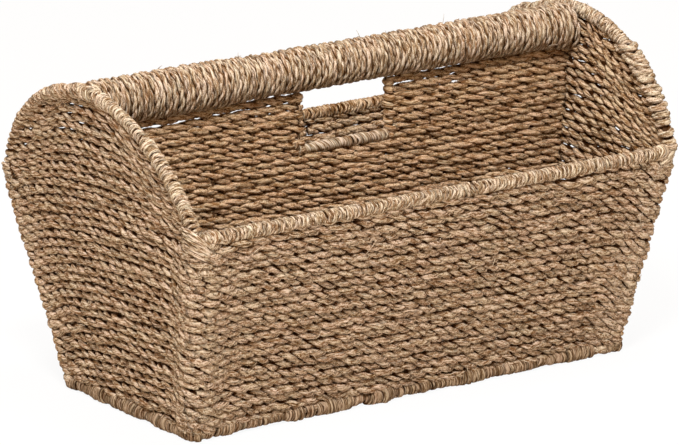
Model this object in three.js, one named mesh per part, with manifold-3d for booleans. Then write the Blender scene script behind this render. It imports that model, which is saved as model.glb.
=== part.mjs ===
// Magazine basket: a welded wire frame woven with seagrass rope, with a divider,
// two pockets and a rope-wound handle. Units are millimetres, +Z is up, X runs
// along the handle, and the basket stands on the plane z = 0.
import * as THREE from 'three';
import { mergeVertices } from 'three/addons/utils/BufferGeometryUtils.js';
import Module from 'manifold-3d';

const wasm = await Module();
wasm.setup();

// Main sizes, taken between the centre lines of the wires
const baseHalfLength = 194;
const baseHalfDepth = 91;
const rimHalfLength = 214.5;
const rimHalfDepth = 141.5;
const rimRise = 164.5;
const archHeight = 88.7;
const handleDrop = 11.9;

// Wires
const frameWire = 4.5;
const stakeWire = 3;
const baseCornerRadius = 6;
const hoopCornerRadius = 14;
const wireSides = 8;
const stakeSides = 5;
const legChannelSides = 12;

// Woven walls: the rope stands this far out of the stakes on each side
const wallRope = 3.7;
const dividerRope = 3.2;
const floorRope = 2.4;
const wallCourse = 6.9;
const dividerCourse = 6;
const grooveShare = 0.35;
const wallCornerRadius = 2;
const wallCornerSteps = 2;

// Thin cord wound round the wires
const rimCord = 2.4;
const archCord = 2;
const baseCord = 2.15;
const sillCord = 2.6;
const wrapSides = 8;
const lashSwell = 1.3;
const lashLength = 9;

// Stakes, counted in bays between the corners
const frontBays = 10;
const endBays = 6;
const dividerSideBays = 4;

// Handle
const coreRadius = 13.6;
const handleRope = 4.7;
const handleTurnPitch = 5.2;
const handleSides = 8;
const handleGroove = 1.5;
const coreSides = 16;

// Hand window in the divider
const windowWidth = 78;
const windowOffset = 6;
const windowHeight = 40;
const postSetback = 4;
const sillOverhang = 7;
const sillLift = 5;

// Fits
const seat = 0.35;
const overrun = 2;
const archSteps = 15;
const cornerSteps = 2;
const slightBend = 0.2;

// Sizes worked out from the ones above
const frameRadius = frameWire / 2;
const stakeRadius = stakeWire / 2;
const rimWrapRadius = frameRadius + seat + rimCord;
const archWrapRadius = frameRadius + seat + archCord;
const baseWrapRadius = frameRadius + seat + baseCord;
const sillWrapRadius = stakeRadius + seat + sillCord;
const lashRadius = rimWrapRadius + lashSwell;
const wallHalf = stakeRadius + wallRope;
const wallValley = wallHalf - wallRope * grooveShare;
const dividerHalf = stakeRadius + dividerRope;
const dividerValley = dividerHalf - dividerRope * grooveShare;
const floorHalf = stakeRadius + floorRope;
const floorValley = floorHalf - floorRope * grooveShare;
const handleRadius = coreRadius + seat + handleRope;

const baseZ = baseWrapRadius * Math.cos(Math.PI / wrapSides);
const rimZ = baseZ + rimRise;
const endFlare = (rimHalfLength - baseHalfLength) / rimRise;
const sideFlare = (rimHalfDepth - baseHalfDepth) / rimRise;
const endTilt = Math.atan(endFlare);
const sideTilt = Math.atan(sideFlare);
const apexZ = rimZ + archHeight;
const handleZ = apexZ - handleDrop;
const wallBottom = baseZ + baseWrapRadius + seat;
const wallTop = rimZ - rimWrapRadius - seat;
const floorTop = baseZ + floorHalf;
const dividerBottom = floorTop + seat;
const dividerTop = handleZ - handleRadius - seat;
const sillZ = handleZ - handleRadius - windowHeight - sillWrapRadius;
const windowLeft = windowOffset - windowWidth / 2;
const windowRight = windowOffset + windowWidth / 2;

const halfLengthAt = (z) => baseHalfLength + endFlare * (z - baseZ);
const halfDepthAt = (z) => baseHalfDepth + sideFlare * (z - baseZ);

// The leaning end planes: local x points out, y across and z up the plane
const alongPlane = (z) => (z - baseZ) / Math.cos(endTilt);
const rimAlong = alongPlane(rimZ);
const apexAlong = alongPlane(apexZ);
const archSagitta = apexAlong - rimAlong;
const archRadius = (rimHalfDepth ** 2 + archSagitta ** 2) / (2 * archSagitta);
const archCentre = apexAlong - archRadius;

// Materials
const material = (color, roughness, metalness) =>
  new THREE.MeshStandardMaterial({ color, roughness, metalness });
const steel = () => material(0x6b6660, 0.45, 0.8);
const wallMaterial = () => material(0x9c7a56, 0.9, 0);
const cordMaterial = () => material(0xbc9c72, 0.85, 0);
const baseMaterial = () => material(0x96744e, 0.88, 0);
const handleMaterial = () => material(0xb0906a, 0.85, 0);
const coreMaterial = () => material(0xb98d5c, 0.7, 0);

// Solids and meshes
function toSolid(geometry, matrix) {
  const bare = geometry.clone();
  bare.deleteAttribute('normal');
  bare.deleteAttribute('uv');
  if (matrix) bare.applyMatrix4(matrix);
  const merged = mergeVertices(bare);
  return new wasm.Manifold(new wasm.Mesh({
    numProp: 3,
    vertProperties: Float32Array.from(merged.attributes.position.array),
    triVerts: Uint32Array.from(merged.index.array),
  }));
}

function toGeometry(solid) {
  const cut = solid.getMesh();
  const geometry = new THREE.BufferGeometry();
  geometry.setAttribute('position', new THREE.BufferAttribute(cut.vertProperties, 3));
  geometry.setIndex(new THREE.BufferAttribute(cut.triVerts, 1));
  geometry.computeVertexNormals();
  return geometry;
}

const subtractAll = (solid, cutters) => cutters.reduce((rest, cutter) => rest.subtract(cutter), solid);
const joinAll = (solids) => solids.reduce((whole, solid) => whole.add(solid));

function addPiece(parent, name, solid, pieceMaterial) {
  const mesh = new THREE.Mesh(toGeometry(solid), pieceMaterial);
  mesh.name = name;
  parent.add(mesh);
  return mesh;
}

// Sections and extrusions
function polygon(radius, sides) {
  const points = [];
  for (let i = 0; i < sides; i += 1) {
    const angle = (2 * Math.PI * (i + 0.5)) / sides;
    points.push(new THREE.Vector2(radius * Math.cos(angle), radius * Math.sin(angle)));
  }
  return points;
}

// A straight bar with round section between two points
function bar(from, to, radius, sides) {
  const run = new THREE.Vector3().subVectors(to, from);
  const flatUp = Math.PI / sides;
  const geometry = new THREE.CylinderGeometry(radius, radius, run.length(), sides, 1, false, flatUp);
  const way = run.clone().normalize();
  const turn = new THREE.Quaternion().setFromUnitVectors(new THREE.Vector3(0, 1, 0), way);
  const middle = new THREE.Vector3().addVectors(from, to).multiplyScalar(0.5);
  return toSolid(geometry, new THREE.Matrix4().compose(middle, turn, new THREE.Vector3(1, 1, 1)));
}

// An outline drawn in two world directions and extruded along the third
function prism(outline, axisX, axisY, from, to) {
  const shape = new THREE.Shape(outline);
  const geometry = new THREE.ExtrudeGeometry(shape, { depth: to - from, bevelEnabled: false });
  const axisZ = new THREE.Vector3().crossVectors(axisX, axisY);
  const place = new THREE.Matrix4().makeBasis(axisX, axisY, axisZ);
  place.setPosition(axisZ.clone().multiplyScalar(from));
  return toSolid(geometry, place);
}

const alongX = new THREE.Vector3(1, 0, 0);
const alongY = new THREE.Vector3(0, 1, 0);
const alongZ = new THREE.Vector3(0, 0, 1);

// A closed solid through rings of points, each ring with as many points
function loft(rings, closed) {
  const count = rings[0].length;
  const positions = rings.flat().flatMap((p) => [p.x, p.y, p.z]);
  const index = [];
  const spans = closed ? rings.length : rings.length - 1;
  for (let i = 0; i < spans; i += 1) {
    const next = (i + 1) % rings.length;
    for (let j = 0; j < count; j += 1) {
      const k = (j + 1) % count;
      index.push(i * count + j, i * count + k, next * count + k);
      index.push(i * count + j, next * count + k, next * count + j);
    }
  }
  if (!closed) {
    const last = (rings.length - 1) * count;
    for (let j = 1; j < count - 1; j += 1) {
      index.push(0, j + 1, j);
      index.push(last, last + j, last + j + 1);
    }
  }
  const geometry = new THREE.BufferGeometry();
  geometry.setAttribute('position', new THREE.BufferAttribute(new Float32Array(positions), 3));
  geometry.setIndex(index);
  const solid = toSolid(geometry);
  if (solid.volume() > 0) return solid;
  geometry.setIndex(index.reverse());
  return toSolid(geometry);
}

// Rounds the inner corners of a flat path of points, but for the slight ones
function roundedPath(points, radius, closed) {
  const path = [];
  points.forEach((corner, i) => {
    const isEnd = !closed && (i === 0 || i === points.length - 1);
    const before = points[(i + points.length - 1) % points.length];
    const after = points[(i + 1) % points.length];
    const back = new THREE.Vector3().subVectors(before, corner).normalize();
    const ahead = new THREE.Vector3().subVectors(after, corner).normalize();
    const bend = Math.PI - back.angleTo(ahead);
    if (isEnd || bend < slightBend) {
      path.push(corner);
      return;
    }
    const reach = radius * Math.tan(bend / 2);
    const middle = back.clone().add(ahead).normalize();
    const centre = corner.clone().addScaledVector(middle, radius / Math.cos(bend / 2));
    const start = corner.clone().addScaledVector(back, reach).sub(centre);
    const axis = new THREE.Vector3().crossVectors(back, ahead).normalize().negate();
    for (let step = 0; step <= cornerSteps + 1; step += 1) {
      const turned = start.clone().applyAxisAngle(axis, (bend * step) / (cornerSteps + 1));
      path.push(turned.add(centre));
    }
  });
  return path;
}

// Sweeps a round section along a flat path, with every ring in its mitre plane
function sweep(points, radius, sides, planeNormal, closed) {
  const section = polygon(radius, sides);
  const rings = points.map((point, i) => {
    const before = points[closed ? (i + points.length - 1) % points.length : Math.max(i - 1, 0)];
    const after = points[closed ? (i + 1) % points.length : Math.min(i + 1, points.length - 1)];
    const into = new THREE.Vector3().subVectors(point, before);
    const out = new THREE.Vector3().subVectors(after, point);
    if (into.length() === 0) into.copy(out);
    if (out.length() === 0) out.copy(into);
    into.normalize();
    out.normalize();
    const tangent = into.clone().add(out).normalize();
    const side = new THREE.Vector3().crossVectors(tangent, planeNormal).normalize();
    side.divideScalar(tangent.dot(out));
    return section.map((p) => point.clone().addScaledVector(side, p.x).addScaledVector(planeNormal, p.y));
  });
  return loft(rings, closed);
}

// The same path made longer at both ends, for cuts that run right through
function lengthened(points, extra) {
  const longer = points.map((p) => p.clone());
  const last = longer.length - 1;
  const startWay = new THREE.Vector3().subVectors(longer[0], longer[1]).normalize();
  const endWay = new THREE.Vector3().subVectors(longer[last], longer[last - 1]).normalize();
  longer[0].addScaledVector(startWay, extra);
  longer[last].addScaledVector(endWay, extra);
  return longer;
}

// A cord wound round a wire, as a sleeve with a bore that clears the wire
function sleeve(points, outerRadius, wireRadius, planeNormal) {
  const outer = sweep(points, outerRadius, wrapSides, planeNormal, false);
  const bore = sweep(lengthened(points, overrun), wireRadius + seat, wrapSides, planeNormal, false);
  return outer.subtract(bore);
}

// The ridged outline of a woven panel: one crest for each course, on both faces
function courseLevels(bottom, top, pitch) {
  const count = Math.max(1, Math.round((top - bottom) / pitch));
  const step = (top - bottom) / count;
  const levels = [];
  for (let i = 0; i < count; i += 1) {
    levels.push({ at: bottom + i * step, crest: false });
    levels.push({ at: bottom + (i + 0.5) * step, crest: true });
  }
  levels.push({ at: top, crest: false });
  return levels;
}

function ridgedOutline(levels, crest, valley) {
  const out = levels.map((level) => new THREE.Vector2(level.crest ? crest : valley, level.at));
  const back = levels.map((level) => new THREE.Vector2(level.crest ? -crest : -valley, level.at)).reverse();
  return [...out, ...back];
}

// Places of the ends, the stakes and the hoops
const endFrames = ['left', 'right'].map((side) => {
  const lean = new THREE.Matrix4().makeRotationY(endTilt).setPosition(baseHalfLength, 0, baseZ);
  const turn = new THREE.Matrix4().makeRotationZ(side === 'left' ? Math.PI : 0);
  return { side, matrix: turn.multiply(lean) };
});

function frontLine(share, sign) {
  return {
    foot: new THREE.Vector3(share * baseHalfLength, sign * baseHalfDepth, baseZ),
    head: new THREE.Vector3(share * rimHalfLength, sign * rimHalfDepth, rimZ),
  };
}

function innerShares(bays) {
  const shares = [];
  for (let i = 1; i < bays; i += 1) shares.push((2 * i) / bays - 1);
  return shares;
}

const frontShares = innerShares(frontBays);

// A stake in an end plane runs up its line until it meets the arch
function endLine(share) {
  const foot = new THREE.Vector3(0, share * baseHalfDepth, 0);
  const way = new THREE.Vector3(0, share * (rimHalfDepth - baseHalfDepth), rimAlong);
  const a = way.lengthSq();
  const toCentre = new THREE.Vector3(0, 0, archCentre).sub(foot);
  const b = way.dot(toCentre);
  const c = toCentre.lengthSq() - archRadius ** 2;
  const reach = (b + Math.sqrt(b * b - a * c)) / a;
  return { foot, head: foot.clone().addScaledVector(way, reach) };
}

const endLines = innerShares(endBays).map(endLine);

// The hoop's centre line in its end plane: two legs and an arch over them
const legStartZ = wallTop - hoopCornerRadius;
const wrapStart = new THREE.Vector3(0, -halfDepthAt(legStartZ), alongPlane(legStartZ));
const hoopFoot = new THREE.Vector3(0, -baseHalfDepth, 0);
const hoopCorner = new THREE.Vector3(0, -rimHalfDepth, rimAlong);

function archPoints() {
  const half = Math.asin(rimHalfDepth / archRadius);
  const points = [];
  for (let i = 1; i < archSteps; i += 1) {
    const angle = half * ((2 * i) / archSteps - 1);
    const rise = archCentre + archRadius * Math.cos(angle);
    points.push(new THREE.Vector3(0, archRadius * Math.sin(angle), rise));
  }
  return points;
}

const acrossMirror = (p) => new THREE.Vector3(p.x, -p.y, p.z);
const hoopShoulder = [hoopFoot, hoopCorner, archPoints()[0]];
const cornerBend = roundedPath(hoopShoulder, hoopCornerRadius, false).slice(1, -1);
const bendTop = cornerBend[cornerBend.length - 1];
const overArch = archPoints().filter((p) => p.z > bendTop.z);
const bendBack = cornerBend.map(acrossMirror).reverse();
const wrapPath = [wrapStart, ...cornerBend, ...overArch, ...bendBack, acrossMirror(wrapStart)];
const legWay = new THREE.Vector3().subVectors(hoopCorner, hoopFoot).normalize();
const legLift = (frameRadius + seat) / legWay.z + frameRadius * sideFlare;
const legEnd = hoopFoot.clone().addScaledVector(legWay, legLift);
const hoopPath = [legEnd, ...wrapPath, acrossMirror(legEnd)];

// Everything beyond the inner face of an end wall
function beyondEnd(end) {
  const size = new THREE.Vector3(rimHalfLength, 4 * rimHalfDepth, 2 * apexAlong);
  const box = new THREE.BoxGeometry(size.x, size.y, 2 * size.z);
  box.translate(size.x / 2 - wallHalf - seat, 0, 0);
  return toSolid(box, end.matrix);
}

const endCuts = endFrames.map(beyondEnd);

// Stake channels, which every piece that a stake passes is cut by
const stakeChannel = (line) => bar(line.foot, line.head, stakeRadius + seat, stakeSides);
const frontChannels = frontShares.map((share) => stakeChannel(frontLine(share, -1)));
const rearChannels = frontShares.map((share) => stakeChannel(frontLine(share, 1)));
const legChannels = [-1, 1].flatMap((sx) => [-1, 1].map((sy) => {
  const line = frontLine(sx, sy);
  return bar(line.foot, line.head, frameRadius + seat, legChannelSides);
}));
const endChannels = endFrames.map((end) => endLines.map((line) => {
  const channel = stakeChannel(line);
  return channel.transform(end.matrix.toArray());
}));
const rodHalf = halfLengthAt(handleZ) - stakeRadius - seat;
const rodEnds = [new THREE.Vector3(-rodHalf, 0, handleZ), new THREE.Vector3(rodHalf, 0, handleZ)];
const rodChannel = bar(rodEnds[0], rodEnds[1], frameRadius + seat, wireSides);

// The space of one side of the basket between the mitre planes of its two corners
function sideSpace(alongLength, sign, bottom, top) {
  const reach = 3 * wallHalf;
  const part = seat / Math.SQRT2;
  const rings = [bottom - overrun, top + overrun].map((z) => {
    const a = halfLengthAt(z);
    const d = halfDepthAt(z);
    const outline = alongLength
      ? [[-a - reach + part, d + reach], [-a + reach + part, d - reach],
        [a - reach - part, d - reach], [a + reach - part, d + reach]]
      : [[a + reach, -d - reach + part], [a - reach, -d + reach + part],
        [a - reach, d - reach - part], [a + reach, d + reach - part]];
    return outline.map(([x, y]) => (alongLength
      ? new THREE.Vector3(x, sign * y, z)
      : new THREE.Vector3(sign * x, y, z)));
  });
  return loft(rings, false);
}

// Base ring with the cross wires of the floor welded in
const baseCorners = [
  new THREE.Vector3(-baseHalfLength, -baseHalfDepth, baseZ),
  new THREE.Vector3(baseHalfLength, -baseHalfDepth, baseZ),
  new THREE.Vector3(baseHalfLength, baseHalfDepth, baseZ),
  new THREE.Vector3(-baseHalfLength, baseHalfDepth, baseZ),
];
const baseLoop = roundedPath(baseCorners, baseCornerRadius, true);
const floorLines = frontShares.map((share) => [
  new THREE.Vector3(share * baseHalfLength, -baseHalfDepth, baseZ),
  new THREE.Vector3(share * baseHalfLength, baseHalfDepth, baseZ),
]);
const floorChannels = floorLines.map(([from, to]) => bar(from, to, stakeRadius + seat, stakeSides));

function baseFrame() {
  const ring = sweep(baseLoop, frameRadius, wireSides, alongZ, true);
  const wires = floorLines.map(([from, to]) => bar(from, to, stakeRadius, stakeSides));
  return joinAll([ring, ...wires]);
}

// Each base wrap runs round half of the bends at its two corners
function baseWrap(corner, alongLength, sign) {
  const perCorner = cornerSteps + 2;
  const path = [];
  for (let i = 1; i < 2 * perCorner - 1; i += 1) {
    path.push(baseLoop[(corner * perCorner + i) % baseLoop.length].clone());
  }
  const wound = sleeve(path, baseWrapRadius, frameRadius, alongZ);
  return wound.intersect(sideSpace(alongLength, sign, 0, 2 * baseWrapRadius));
}

// A rim wire with the stakes of its wall welded under it
function wallFrame(sign) {
  const wireHalf = rimHalfLength - frameRadius - seat;
  const from = new THREE.Vector3(-wireHalf, sign * rimHalfDepth, rimZ);
  const to = new THREE.Vector3(wireHalf, sign * rimHalfDepth, rimZ);
  const stakes = frontShares.map((share) => {
    const line = frontLine(share, sign);
    const way = new THREE.Vector3().subVectors(line.head, line.foot).normalize();
    const lift = (frameRadius + seat) / way.z + stakeRadius * sideFlare;
    return bar(line.foot.clone().addScaledVector(way, lift), line.head, stakeRadius, stakeSides);
  });
  return joinAll([bar(from, to, frameRadius, wireSides), ...stakes]);
}

// A hoop with the stakes of its end wall welded under it, in its own plane
function endHoop() {
  const hoop = sweep(hoopPath, frameRadius, wireSides, alongX, false);
  const stakes = endLines.map((line) => {
    const way = new THREE.Vector3().subVectors(line.head, line.foot).normalize();
    const lift = (frameRadius + seat) / (way.z * Math.cos(endTilt)) + stakeRadius * endFlare;
    return bar(line.foot.clone().addScaledVector(way, lift), line.head, stakeRadius, stakeSides);
  });
  return joinAll([hoop, ...stakes]);
}

// The rope walls, woven round the corners and parted along the legs
function roundedSection(z, offset) {
  const x = halfLengthAt(z) + offset / Math.cos(endTilt);
  const y = halfDepthAt(z) + offset / Math.cos(sideTilt);
  const radius = wallCornerRadius + offset;
  const ring = [];
  [[1, 1], [-1, 1], [-1, -1], [1, -1]].forEach(([sx, sy], quarter) => {
    for (let i = 0; i <= wallCornerSteps; i += 1) {
      const angle = (Math.PI / 2) * (quarter + i / wallCornerSteps);
      ring.push(new THREE.Vector3(
        sx * (x - radius) + radius * Math.cos(angle),
        sy * (y - radius) + radius * Math.sin(angle),
        z,
      ));
    }
  });
  return ring;
}

function sharpSection(z, offset) {
  const x = halfLengthAt(z) - offset / Math.cos(endTilt);
  const y = halfDepthAt(z) - offset / Math.cos(sideTilt);
  return [[1, 1], [-1, 1], [-1, -1], [1, -1]].map(([sx, sy]) => new THREE.Vector3(sx * x, sy * y, z));
}

const wallLevels = courseLevels(wallBottom, wallTop, wallCourse);
const wallOffset = (level) => (level.crest ? wallHalf : wallValley);

function wallRing() {
  const outer = loft(wallLevels.map((level) => roundedSection(level.at, wallOffset(level))), false);
  const hollow = loft([
    sharpSection(wallBottom - overrun, wallValley),
    ...wallLevels.map((level) => sharpSection(level.at, wallOffset(level))),
    sharpSection(wallTop + overrun, wallValley),
  ], false);
  return outer.subtract(hollow);
}

// Everything below the top edge of the walls, which the arch wraps stop over
function belowWallTop() {
  const box = new THREE.BoxGeometry(4 * rimHalfLength, 4 * rimHalfDepth, 2 * rimZ);
  box.translate(0, 0, wallTop + seat - rimZ);
  return toSolid(box);
}

// The part of an end wall over the rim, which fills the arch
function archFill() {
  const bottom = alongPlane(wallTop);
  const levels = courseLevels(bottom, apexAlong + wallCourse, wallCourse);
  const root = [{ at: bottom - overrun / 2, crest: false }, ...levels];
  const section = ridgedOutline(root, wallHalf, wallValley);
  const ridged = prism(section, alongX, alongZ, -rimHalfDepth, rimHalfDepth);
  const inset = archWrapRadius + seat;
  const outline = wrapPath.map((point, i) => {
    const before = wrapPath[Math.max(i - 1, 0)];
    const after = wrapPath[Math.min(i + 1, wrapPath.length - 1)];
    const way = new THREE.Vector3().subVectors(after, before).normalize();
    return new THREE.Vector2(point.y + way.z * inset, point.z - way.y * inset);
  });
  const reach = 2 * wallHalf;
  return ridged.intersect(prism(outline, alongY, alongZ, -reach, reach));
}

// The divider between the pockets, with the hand window under the handle
const dividerRun = halfLengthAt(apexZ);
const railZ = dividerBottom + dividerHalf;
const sillPath = [
  new THREE.Vector3(windowLeft - sillOverhang, 0, sillZ + sillLift),
  new THREE.Vector3(windowLeft, 0, sillZ),
  new THREE.Vector3(windowRight, 0, sillZ),
  new THREE.Vector3(windowRight + sillOverhang, 0, sillZ + sillLift),
];
const postXs = [windowLeft - postSetback, windowRight + postSetback];
const stakeTop = dividerTop;

function dividerStakeXs() {
  const xs = [...postXs];
  for (let i = 1; i < dividerSideBays; i += 1) {
    const share = i / dividerSideBays;
    xs.push(postXs[0] - share * (baseHalfLength + postXs[0]));
    xs.push(postXs[1] + share * (baseHalfLength - postXs[1]));
  }
  return xs;
}

const dividerLines = [
  ...dividerStakeXs().map((x) => [new THREE.Vector3(x, 0, railZ), new THREE.Vector3(x, 0, stakeTop)]),
  [new THREE.Vector3(windowOffset, 0, railZ), new THREE.Vector3(windowOffset, 0, sillZ)],
];
const railHalf = halfLengthAt(railZ) - wallHalf / Math.cos(endTilt) - stakeRadius * endFlare - seat;
const railLine = [new THREE.Vector3(-railHalf, 0, railZ), new THREE.Vector3(railHalf, 0, railZ)];

function dividerFrame() {
  const stakes = dividerLines.map(([from, to]) => bar(from, to, stakeRadius, stakeSides));
  const sillWire = sweep(sillPath, stakeRadius, wireSides, alongY, false);
  return joinAll([bar(...railLine, stakeRadius, stakeSides), sillWire, ...stakes]);
}

const dividerChannels = [
  ...dividerLines.map(([from, to]) => bar(
    from.clone().addScaledVector(alongZ, -seat),
    to.clone().addScaledVector(alongZ, to.z === stakeTop ? overrun : 0),
    stakeRadius + seat,
    stakeSides,
  )),
  bar(...lengthened(railLine, overrun), stakeRadius + seat, stakeSides),
];

function dividerWall() {
  const levels = courseLevels(dividerBottom, dividerTop, dividerCourse);
  const outline = ridgedOutline(levels, dividerHalf, dividerValley);
  const slab = prism(outline, alongY, alongZ, -dividerRun, dividerRun);
  const openingHeight = 2 * windowHeight + 2 * sillWrapRadius;
  const opening = new THREE.BoxGeometry(windowWidth, 4 * dividerHalf, openingHeight);
  opening.translate(windowOffset, 0, sillZ + windowHeight + sillWrapRadius);
  const sillSpace = sweep(lengthened(sillPath, seat), sillWrapRadius + seat, wrapSides, alongY, false);
  return subtractAll(slab, [toSolid(opening), sillSpace, ...dividerChannels, ...endCuts]);
}

function floorWeave() {
  const half = baseHalfDepth - baseWrapRadius - seat;
  const levels = courseLevels(-half, half, wallCourse);
  const ridges = ridgedOutline(levels, floorHalf, floorValley);
  const outline = ridges.map((p) => new THREE.Vector2(p.y, baseZ - p.x));
  const run = baseHalfLength - baseWrapRadius - seat;
  return subtractAll(prism(outline, alongY, alongZ, -run, run), floorChannels);
}

// The rope wound round the handle: one unbroken ridge from end to end
function windingSolid(length) {
  const turns = Math.max(2, Math.round(length / handleTurnPitch));
  const step = length / turns / 2;
  const rows = 2 * turns;
  const grid = [];
  const indexOf = new Map();
  const place = (row, column) => {
    const share = column / handleSides;
    const radius = row % 2 === 0 ? handleRadius : handleRadius - handleGroove;
    const angle = 2 * Math.PI * share;
    indexOf.set(`${row},${column}`, grid.length);
    grid.push(new THREE.Vector3(
      (row + 2 * share) * step - length / 2 - step,
      radius * Math.cos(angle),
      handleZ + radius * Math.sin(angle),
    ));
  };
  for (let row = 0; row <= rows; row += 1) {
    for (let column = 0; column < handleSides; column += 1) place(row, column);
  }
  place(rows + 1, 0);
  place(rows + 2, 0);
  const at = (row, column) => (column === handleSides
    ? indexOf.get(`${row + 2},0`)
    : indexOf.get(`${row},${column}`));
  const index = [];
  for (let row = 0; row < rows; row += 1) {
    for (let column = 0; column < handleSides; column += 1) {
      index.push(at(row, column), at(row, column + 1), at(row + 1, column + 1));
      index.push(at(row, column), at(row + 1, column + 1), at(row + 1, column));
    }
  }
  const rimOf = (row) => {
    const rim = [];
    for (let column = 0; column <= handleSides; column += 1) rim.push(at(row, column));
    rim.push(at(row + 1, 0));
    return rim;
  };
  [[0, -length / 2], [rows, length / 2]].forEach(([row, x]) => {
    const hub = grid.length;
    grid.push(new THREE.Vector3(x, 0, handleZ));
    const rim = rimOf(row);
    rim.forEach((vertex, i) => {
      const next = rim[(i + 1) % rim.length];
      if (row === 0) index.push(hub, next, vertex);
      else index.push(hub, vertex, next);
    });
  });
  const geometry = new THREE.BufferGeometry();
  const positions = new Float32Array(grid.flatMap((p) => [p.x, p.y, p.z]));
  geometry.setAttribute('position', new THREE.BufferAttribute(positions, 3));
  geometry.setIndex(index);
  const solid = toSolid(geometry);
  if (solid.volume() > 0) return solid;
  geometry.setIndex(index.reverse());
  return toSolid(geometry);
}

function handleWrap() {
  const length = 2 * halfLengthAt(apexZ + handleRadius);
  const bore = bar(
    new THREE.Vector3(-length, 0, handleZ),
    new THREE.Vector3(length, 0, handleZ),
    coreRadius + seat,
    coreSides,
  );
  return subtractAll(windingSolid(length), [bore, ...endCuts]);
}

function handleCore() {
  const run = halfLengthAt(apexZ + handleRadius);
  const bore = frameRadius + seat;
  const profile = [
    new THREE.Vector2(bore, -run),
    new THREE.Vector2(coreRadius, -run),
    new THREE.Vector2(coreRadius, run),
    new THREE.Vector2(bore, run),
    new THREE.Vector2(bore, -run),
  ];
  const lie = new THREE.Matrix4().makeRotationZ(Math.PI / 2).setPosition(0, 0, handleZ);
  return subtractAll(toSolid(new THREE.LatheGeometry(profile, coreSides), lie), endCuts);
}

// Straight sleeves on the rim wires, and the lashings at their ends
const rimEnd = rimHalfLength - wallHalf / Math.cos(endTilt) - lashRadius * endFlare - seat;

function rimSleeve(sign, fromX, toX, radius) {
  const from = new THREE.Vector3(fromX, sign * rimHalfDepth, rimZ);
  const to = new THREE.Vector3(toX, sign * rimHalfDepth, rimZ);
  return sleeve([from, to], radius, frameRadius, alongZ);
}

function sillWrap() {
  const wound = sleeve(sillPath, sillWrapRadius, stakeRadius, alongY);
  return subtractAll(wound, dividerChannels);
}

// The assembly
const group = new THREE.Group();
const wires = new THREE.Group();
const weave = new THREE.Group();
const wraps = new THREE.Group();
group.add(wires, weave, wraps);

addPiece(wires, 'base_frame', baseFrame(), steel());
addPiece(wires, 'front_frame', wallFrame(-1), steel());
addPiece(wires, 'rear_frame', wallFrame(1), steel());
addPiece(wires, 'divider_frame', dividerFrame(), steel());
addPiece(wires, 'handle_rod', bar(...rodEnds, frameRadius, wireSides), steel());

const ring = wallRing();
const lashSpaces = [-1, 1].flatMap((sx) => [-1, 1].map((sy) => bar(
  new THREE.Vector3(sx * (rimEnd - lashLength - seat), sy * rimHalfDepth, rimZ),
  new THREE.Vector3(sx * (rimEnd + seat), sy * rimHalfDepth, rimZ),
  lashRadius + seat,
  wrapSides,
)));
[['front', -1, frontChannels], ['rear', 1, rearChannels]].forEach(([name, sign, channels]) => {
  const wall = ring.intersect(sideSpace(true, sign, wallBottom, wallTop));
  const cuts = [...channels, ...legChannels, ...lashSpaces];
  addPiece(weave, `${name}_wall`, subtractAll(wall, cuts), wallMaterial());
});
addPiece(weave, 'divider_wall', dividerWall(), wallMaterial());
addPiece(weave, 'floor_weave', floorWeave(), wallMaterial());

const rimChannels = [-1, 1].map((sign) => bar(
  new THREE.Vector3(-rimHalfLength, sign * rimHalfDepth, rimZ),
  new THREE.Vector3(rimHalfLength, sign * rimHalfDepth, rimZ),
  frameRadius + seat,
  wireSides,
));
const underWalls = belowWallTop();
const archWrap = sleeve(wrapPath, archWrapRadius, frameRadius, alongX);

endFrames.forEach((end, i) => {
  const local = new THREE.Group();
  local.applyMatrix4(end.matrix);
  group.add(local);
  addPiece(local, `${end.side}_end_hoop`, endHoop(), steel());
  const lower = ring.intersect(sideSpace(false, end.side === 'left' ? -1 : 1, wallBottom, wallTop));
  const upper = archFill().transform(end.matrix.toArray());
  const cuts = [...endChannels[i], ...legChannels, ...lashSpaces, rodChannel];
  addPiece(weave, `${end.side}_end_wall`, subtractAll(lower.add(upper), cuts), wallMaterial());
  const wound = archWrap.transform(end.matrix.toArray());
  const wrapCuts = [...endChannels[i], ...rimChannels, underWalls];
  addPiece(wraps, `${end.side}_arch_wrap`, subtractAll(wound, wrapCuts), cordMaterial());
});

[['front', -1, frontChannels], ['rear', 1, rearChannels]].forEach(([name, sign, channels]) => {
  const wrapHalf = rimEnd - lashLength - seat;
  const wound = rimSleeve(sign, -wrapHalf, wrapHalf, rimWrapRadius);
  addPiece(wraps, `${name}_rim_wrap`, subtractAll(wound, channels), cordMaterial());
  const leftLashing = rimSleeve(sign, -rimEnd, lashLength - rimEnd, lashRadius);
  const rightLashing = rimSleeve(sign, rimEnd - lashLength, rimEnd, lashRadius);
  addPiece(wraps, `${name}_left_lashing`, leftLashing, cordMaterial());
  addPiece(wraps, `${name}_right_lashing`, rightLashing, cordMaterial());
});

const baseChannels = [
  ...frontChannels, ...rearChannels, ...endChannels.flat(), ...legChannels, ...floorChannels,
];
[['front', true, -1], ['right', false, 1], ['rear', true, 1], ['left', false, -1]].forEach(
  ([name, alongLength, sign], corner) => {
    const wound = baseWrap(corner, alongLength, sign);
    addPiece(wraps, `${name}_base_wrap`, subtractAll(wound, baseChannels), baseMaterial());
  },
);
addPiece(wraps, 'sill_wrap', sillWrap(), cordMaterial());

addPiece(group, 'handle_core', handleCore(), coreMaterial());
addPiece(group, 'handle_wrap', handleWrap(), handleMaterial());

export default group;
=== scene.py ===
# Magazine basket: rope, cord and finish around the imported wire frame. Units are metres.
import bpy
import math
import numpy as np
from mathutils import Matrix, Vector


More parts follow.
